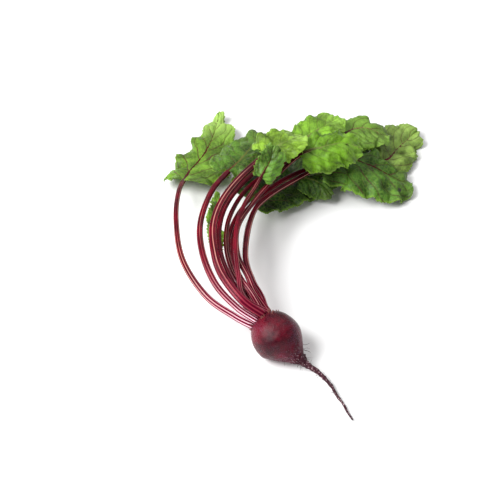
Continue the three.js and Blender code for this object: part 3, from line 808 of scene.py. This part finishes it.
def outline(leaf, u, phase):
    """Half width of a blade as a share of its widest, with a margin of rounded lobes."""
    taper = leaf.get("tip_taper", TIP_TAPER)
    depth = leaf.get("lobe_depth", LOBE_DEPTH)
    shape = (u + 0.02) ** 0.36 * (1.01 - u) ** taper / 0.57
    return shape * (1 - depth * (1 - np.abs(np.sin(math.pi * leaf["wave"][0] * u + phase))))


def blade_length(route):
    line = route.point(np.linspace(route.blade_from, route.last, 40))
    return np.sum(np.linalg.norm(np.diff(line, axis=0), axis=1))


def vein_places(leaf, route, u, v, seed):
    """A number that is whole on each side vein, which slants from the midrib to the tip."""
    out = np.abs(v)
    right = (v > 0).astype(int)
    width = np.array(leaf["width"])[right]
    slant = VEIN_SLANT * width / blade_length(route)
    flat = np.column_stack([u * 3, v * 2, u * 0])
    wander = 0.35 * grain(flat, 1, seed) * np.clip(out * 4, 0, 1)
    return (u - slant * out - VEIN_BOW * out ** 2) * leaf["veins"] + 0.42 * right + wander + 20


def blade_places(leaf, route, u, v, look, seed):
    """The blade's middle surface: u runs from base to tip, and v from -1 to 1 across."""
    at, tangent, up, side = route.frame(mix(route.blade_from, route.last, u))
    right = (v > 0).astype(int)
    out = np.abs(v)
    waves, height, phase = leaf["wave"]
    length = blade_length(route)
    width = np.array(leaf["width"])[right] * outline(leaf, u, phase + right)
    line = np.column_stack([u * length / 9, right * 5.0, u * 0])
    loose = grain(line, 1, seed)
    tooth = (u * length / look.tooth_spacing + 0.9 * loose) % 1
    tooth_depth = look.tooth_depth * (0.75 + 0.6 * grain(line, 0.8, seed + 3))
    fold = np.radians(np.array(leaf["fold"])[right])
    curl = np.radians(np.array(leaf["curl"])[right])
    along = fold + curl * out
    turn = 2 * math.pi * waves * u + phase + right * 2
    wave = height * out ** 1.6 * (np.sin(turn) + 0.45 * np.sin(1.7 * turn + 1))
    ruffle = look.ruffle_height * out ** 4 * grain(line, 0.75, seed + 8)
    across = width * (np.sin(along) - np.sin(fold)) / curl
    across = across + (tooth - 0.6) * tooth_depth * out ** 9 * np.clip(width / 8, 0, 1)
    lift = width * (np.cos(fold) - np.cos(along)) / curl + wave + ruffle
    sweep = mix(-0.3, 0.25, np.clip(2 * u, 0, 1)) * width * out ** 2
    places = at + side * (np.sign(v) * across)[:, None] + up * lift[:, None]
    return places + tangent * sweep[:, None]


def add_blade(name, leaf, look, seed):
    route = leaf_route(leaf)
    length = blade_length(route)
    rows = int(length / look.mesh_step)
    columns = 2 * int(max(leaf["width"]) / look.mesh_step * 0.75)
    deselect_all()
    bpy.ops.mesh.primitive_grid_add(x_subdivisions=columns, y_subdivisions=rows, size=2)
    piece = new_piece(name)
    flat = read_places(piece)
    u = (flat[:, 1] + 1) / 2
    v = flat[:, 0]
    out = np.abs(v)
    u = mix(u, smooth(u), 0.35)
    places = blade_places(leaf, route, u, v, look, seed)
    move_places(piece, places)
    normals = np.empty(len(flat) * 3, np.float32)
    piece.data.vertex_normals.foreach_get("vector", normals)
    normals = normals.reshape(-1, 3)
    vein_place = vein_places(leaf, route, u, v, seed)
    swell = np.sin(math.pi * (vein_place % 1)) ** 0.8
    rise = look.pucker_height * swell * np.clip(out * 5, 0, 1) * (1 - out ** 6)
    wide_gap, fine_gap = LUMP_GAPS
    lumps = look.pucker_height * 0.8 * grain(places, wide_gap, seed + 1)
    rise = rise + lumps * np.clip(out * 3, 0, 1)
    crease = 0.3 - np.abs(grain(places, CREASE_GAP, seed + 5))
    rise = rise + look.fold_height * crease * np.clip(out * 2.5, 0, 1)
    rise = rise + look.pucker_height * 0.35 * grain(places, fine_gap, seed + 2)
    places = places + normals * rise[:, None]
    places[:, 2] = np.maximum(places[:, 2], FLOOR + BLADE_HALF_THICKNESS)
    move_places(piece, places)
    keep_values(piece, "vein_place", vein_place)
    keep_values(piece, "out", out)
    # How high each place stands in its folds, from 0 to 1; the material paints shade into the low
    # places.
    keep_values(piece, "raised", 0.5 + 0.5 * rise / np.max(np.abs(rise)))
    # How near the tip each place is; the material paints light there.
    keep_values(piece, "tip", eased((u - 0.55) / 0.35))
    cut_holes(piece, leaf, u, v, places)
    piece.data.materials.append(blade_material(name + "_upper", leaf, look, False))
    piece.data.materials.append(blade_material(name + "_under", leaf, look, True))
    apply_modifier(piece, "SOLIDIFY", thickness=look.blade_thickness * MM, offset=0,
                   material_offset=1, material_offset_rim=0)
    deselect_all()
    piece.select_set(True)
    bpy.ops.object.shade_smooth()
    place_in_frame(piece, "leaf", name + "_blade")


def cut_holes(piece, leaf, u, v, places):
    """Eaten holes, each a few millimetres wide."""
    if "holes" not in leaf:
        return
    doomed = np.zeros(len(u), bool)
    for along, across, radius in leaf["holes"]:
        centre = places[np.argmin((u - along) ** 2 + (v - across) ** 2)]
        doomed |= np.linalg.norm(places - centre, axis=1) < radius
    bpy.ops.object.mode_set(mode="EDIT")
    bpy.ops.mesh.select_mode(type="VERT")
    bpy.ops.mesh.select_all(action="DESELECT")
    bpy.ops.object.mode_set(mode="OBJECT")
    piece.data.vertices.foreach_set("select", doomed)
    bpy.ops.object.mode_set(mode="EDIT")
    bpy.ops.mesh.delete(type="VERT")
    bpy.ops.object.mode_set(mode="OBJECT")


def add_stalk(name, leaf, look, seed):
    route = leaf_route(leaf)
    at_foot, at_blade = leaf["stalk"]
    from_t = route.blade_from / route.last

    def section(share):
        """Half width, half height and sinking of the stalk and its midrib."""
        t = share * route.last
        in_stalk = np.clip(t / route.blade_from, 0, 1)
        in_blade = np.clip((share - from_t) / (1 - from_t), 0, 1)
        stalk = mix(at_foot, at_blade, in_stalk ** 0.7)
        radius = np.where(share < from_t, stalk, mix(at_blade, MIDRIB_TIP_RADIUS, in_blade ** 0.8))
        sunk = radius * look.midrib_sunk * eased((in_stalk - 0.6) / 0.4)
        return radius, radius * mix(*STALK_FLATNESS, in_stalk), sunk

    def ribs(share, turn):
        return np.cos(look.stalk_ribs * turn + RIB_WAVER * np.sin(share * 11 + seed))

    def shape(share, turn):
        at, _, up, side = route.frame(share * route.last)
        wide, high, sunk = section(share)
        ends = np.sqrt(1 - (1 - np.clip(np.minimum(share, 1 - share) * 60, 0, 1)) ** 2)
        channel = CHANNEL_DEPTH * np.exp(-(turn / CHANNEL_HALF_ANGLE) ** 2)
        stands = 1 + look.rib_height * ribs(share, turn) - channel
        reach = (stands * ends)[:, None]
        return (at - up * sunk[:, None] + side * (wide * np.sin(turn))[:, None] * reach
                + up * (high * np.cos(turn))[:, None] * reach)

    piece, share, turn = swept_body(name, look.stalk_sides, STALK_RINGS, shape)
    places = read_places(piece) / MM
    places[:, 2] = np.maximum(places[:, 2], FLOOR)
    move_places(piece, places)
    face_out()
    keep_values(piece, "along", share)
    keep_values(piece, "turn", turn)
    keep_values(piece, "rib", 0.5 + 0.5 * ribs(share, turn))
    keep_values(piece, "own", share * 0 + seed * 4.7)
    keep_values(piece, "blush_and_highlight", share * 0 + leaf["blush_and_highlight"])
    under_blade = eased(3 * (share - from_t) / (1 - from_t))
    keep_values(piece, "green_rib", under_blade * (1 - leaf["red"]))
    piece.data.materials.append(stalk_material(look))
    place_in_frame(piece, "stalk", name.replace("_petiole", "_stalk"))


# Settings that a user would change

def colour_setting(name, description, code):
    return FloatVectorProperty(name=name, description=description, subtype="COLOR",
                               default=paint(code))


def number_setting(name, description, default, least=0):
    return FloatProperty(name=name, description=description, default=default, min=least)


class BeetrootRootSettings(bpy.types.PropertyGroup):
    """Sizes and colours of the root."""
    root_sides: IntProperty(name="Sides", description="Faces round the root", default=128, min=24)
    root_rings: IntProperty(name="Rings", description="Rings along the root", default=300, min=60)
    lump_height: number_setting("Lumps", "Height of the wide lumps, in mm", 0.6)
    skin_relief: number_setting("Skin relief", "Depth of the fine pits, in mm", 0.3)
    hair_count: IntProperty(name="Side roots", description="How many side roots stand out",
                            default=34, min=1)
    hair_length: number_setting("Side root length", "Length of the longest, in mm", 9, 1)
    skin_dark: colour_setting("Dark skin", "Colour of the skin", "340413")
    skin_red: colour_setting("Red skin", "Colour of the redder patches", "66051d")
    # Partly dust on the skin, partly a painted sheen.
    skin_dust_and_sheen: colour_setting("Dust", "Colour of the fine flecks", "84568a")
    crown_brown: colour_setting("Crown", "Colour of the crown", "3a1216")
    tail_brown: colour_setting("Tail", "Colour of the tail", "1e0610")
    fleck_pale: colour_setting("Flecks", "Colour of the scars on the tail", "c2a4aa")
    hair_brown: colour_setting("Side root", "Colour of the side roots", "381820")
    thread_pale: colour_setting("Threads", "Side roots that lie on the skin", "7c4654")
    scale_count: IntProperty(name="Scales", description="How many dry scales stand on the crown",
                             default=26, min=1)
    scale_tan: colour_setting("Scale", "Colour of the dry scales", "7a4038")


class BeetrootLeafSettings(bpy.types.PropertyGroup):
    """Sizes and colours of stalks and blades."""
    blade_thickness: number_setting("Blade thickness", "Thickness, in mm", 0.5, 0.1)
    mesh_step: number_setting("Mesh step", "Distance between rows, in mm", 0.82, 0.4)
    tooth_spacing: number_setting("Tooth spacing", "From tooth to tooth, in mm", 4.2, 1)
    tooth_depth: number_setting("Tooth depth", "Depth of a tooth, in mm", 2.6)
    ruffle_height: number_setting("Ruffles", "Height of the margin's ruffles, mm", 3.0)
    pucker_height: number_setting("Puckers", "Swelling between veins, in mm", 0.9)
    fold_height: number_setting("Folds", "Height of the wide folds, in mm", 9.0)
    vein_relief: number_setting("Vein relief", "Depth of the veins, in mm", 0.6)
    stalk_sides: IntProperty(name="Stalk sides", description="Faces round a stalk", default=36,
                             min=12)
    stalk_ribs: IntProperty(name="Ribs", description="Ribs round a stalk", default=7, min=0)
    rib_height: number_setting("Rib height", "As a share of the radius", 0.065)
    midrib_sunk: FloatProperty(name="Midrib depth", description="How far the midrib lies below "
                               "the blade, as a share of its radius", default=0.42)
    under_green: colour_setting("Underside", "Colour of the underside", "6f8c4c")
    # Painted light: the pale green that is painted onto the lit leaf tips.
    painted_tip_light_green: colour_setting("Leaf tips", "Colour of the paler leaf tips", "a8cc68")
    net_green: colour_setting("Fine veins", "Colour of the fine veins", "86a83c")
    margin_green: colour_setting("Margin", "Colour of the margin", "8ab43c")
    vein_red: colour_setting("Veins", "Colour of the side veins", "5a1a2c")
    crimson: colour_setting("Crimson", "Colour of the stalks", "560316")
    bright_crimson: colour_setting("Bright crimson", "Their brighter colour", "800622")
    deep_crimson: colour_setting("Deep crimson", "Their darker colour", "26020c")
    foot_pink: colour_setting("Foot", "Colour of the stalks at the crown", "ac0e50")
    rib_green: colour_setting("Green midrib", "Of leaves with pale veins", "7d9c4a")
    # The pale stripes on the ribs and their colour at the crown: partly the stalks' own stripes, partly
    # painted highlights.
    pale_rib_and_highlight: colour_setting("Pale ribs", "Colour of the pale ribs", "e2a492")
    foot_white_and_highlight: colour_setting("White ribs", "Their colour at the crown", "f8d6e0")


class BeetrootStageSettings(bpy.types.PropertyGroup):
    """Floor and light."""
    floor_white: FloatVectorProperty(name="Floor", description="Colour of the floor",
                                     subtype="COLOR", default=(0.93, 0.93, 0.93))
    key_power: FloatProperty(name="Key light", description="Power of the light on the left",
                             default=47, min=0, unit="POWER")
    top_power: FloatProperty(name="Top light", description="Power of the light above",
                             default=11, min=0, unit="POWER")
    sky: number_setting("Fill", "Strength of the even light all round", 0.34)


class BEETROOT_OT_root(bpy.types.Operator):
    """Add the round root with its tail"""
    bl_idname = "beetroot.root"
    bl_label = "Root"

    def execute(self, context):
        add_root(context.scene.beetroot_root)
        return {"FINISHED"}


class BEETROOT_OT_hairs(bpy.types.Operator):
    """Add the thin side roots on the neck and the tail"""
    bl_idname = "beetroot.hairs"
    bl_label = "Side roots"

    def execute(self, context):
        add_hairs(context.scene.beetroot_root)
        return {"FINISHED"}


class BEETROOT_OT_scales(bpy.types.Operator):
    """Add the dry scales among the stalks' feet"""
    bl_idname = "beetroot.scales"
    bl_label = "Crown scales"

    def execute(self, context):
        add_scales(context.scene.beetroot_root)
        return {"FINISHED"}


class BEETROOT_OT_stalks(bpy.types.Operator):
    """Add the twelve stalks, which run on under the blades as midribs"""
    bl_idname = "beetroot.stalks"
    bl_label = "Stalks"

    def execute(self, context):
        for seed, (name, leaf) in enumerate(LEAVES.items()):
            add_stalk(name + "_petiole", leaf, context.scene.beetroot_leaf, seed)
        return {"FINISHED"}


class BEETROOT_OT_blades(bpy.types.Operator):
    """Add the twelve waved and toothed leaf blades"""
    bl_idname = "beetroot.blades"
    bl_label = "Leaf blades"

    def execute(self, context):
        for seed, (name, leaf) in enumerate(LEAVES.items()):
            add_blade(name, leaf, context.scene.beetroot_leaf, seed)
        return {"FINISHED"}


def add_light(name, place, side, power):
    """A soft square light that shines at the plant's middle."""
    deselect_all()
    bpy.ops.object.light_add(type="AREA", location=place)
    light = bpy.context.object
    light.name = name
    light.data.shape = "SQUARE"
    light.data.size = side
    light.data.energy = power
    from_aim = Vector(place) - Vector(LIGHT_AIM)
    light.rotation_euler = from_aim.to_track_quat("Z", "Y").to_euler()


class BEETROOT_OT_stage(bpy.types.Operator):
    """Add the floor, the lights and the camera"""
    bl_idname = "beetroot.stage"
    bl_label = "Stage"

    def execute(self, context):
        look = context.scene.beetroot_stage
        deselect_all()
        bpy.ops.mesh.primitive_plane_add(size=FLOOR_SIDE)
        floor = new_piece("floor")
        material, _, surface = new_material("floor_white")
        surface["Base Color"].default_value = (*look.floor_white, 1)
        surface["Roughness"].default_value = 0.9
        surface["Specular IOR Level"].default_value = 0.1
        floor.data.materials.append(material)
        add_light("key_light", *KEY_LIGHT, look.key_power)
        add_light("top_light", *TOP_LIGHT, look.top_power)
        world = bpy.data.worlds.new("even_light")
        world.use_nodes = True
        world.node_tree.nodes["Background"].inputs["Color"].default_value = (1, 1, 1, 1)
        world.node_tree.nodes["Background"].inputs["Strength"].default_value = look.sky
        context.scene.world = world
        context.scene.view_settings.view_transform = "Standard"
        bpy.ops.object.camera_add(location=CAMERA_PLACE,
                                  rotation=(math.radians(CAMERA_TILT), 0, 0))
        camera = bpy.context.object
        camera.data.lens = CAMERA_LENS
        context.scene.camera = camera
        return {"FINISHED"}


class BEETROOT_PT_panel(bpy.types.Panel):
    """Lists the pieces of the beetroot"""
    bl_label = "Beetroot"
    bl_space_type = "VIEW_3D"
    bl_region_type = "UI"
    bl_category = "Beetroot"

    def draw(self, context):
        groups = (("beetroot_root", (BEETROOT_OT_root, BEETROOT_OT_hairs, BEETROOT_OT_scales)),
                  ("beetroot_leaf", (BEETROOT_OT_stalks, BEETROOT_OT_blades)),
                  ("beetroot_stage", (BEETROOT_OT_stage,)))
        for settings, operators in groups:
            box = self.layout.box()
            for operator in operators:
                box.operator(operator.bl_idname)
            group = getattr(context.scene, settings)
            for key in group.__annotations__:
                box.prop(group, key)


CLASSES = (
    BeetrootRootSettings, BeetrootLeafSettings, BeetrootStageSettings,
    BEETROOT_OT_root, BEETROOT_OT_hairs, BEETROOT_OT_scales, BEETROOT_OT_stalks,
    BEETROOT_OT_blades, BEETROOT_OT_stage, BEETROOT_PT_panel,
)


def register():
    for made in CLASSES:
        bpy.utils.register_class(made)
    bpy.types.Scene.beetroot_root = PointerProperty(type=BeetrootRootSettings)
    bpy.types.Scene.beetroot_leaf = PointerProperty(type=BeetrootLeafSettings)
    bpy.types.Scene.beetroot_stage = PointerProperty(type=BeetrootStageSettings)


def unregister():
    del bpy.types.Scene.beetroot_stage
    del bpy.types.Scene.beetroot_leaf
    del bpy.types.Scene.beetroot_root
    for made in reversed(CLASSES):
        bpy.utils.unregister_class(made)


def main():
    register()
    bpy.ops.beetroot.root()
    bpy.ops.beetroot.hairs()
    bpy.ops.beetroot.scales()
    bpy.ops.beetroot.stalks()
    bpy.ops.beetroot.blades()
    bpy.ops.beetroot.stage()
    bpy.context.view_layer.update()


if __name__ == "__main__":
    main()
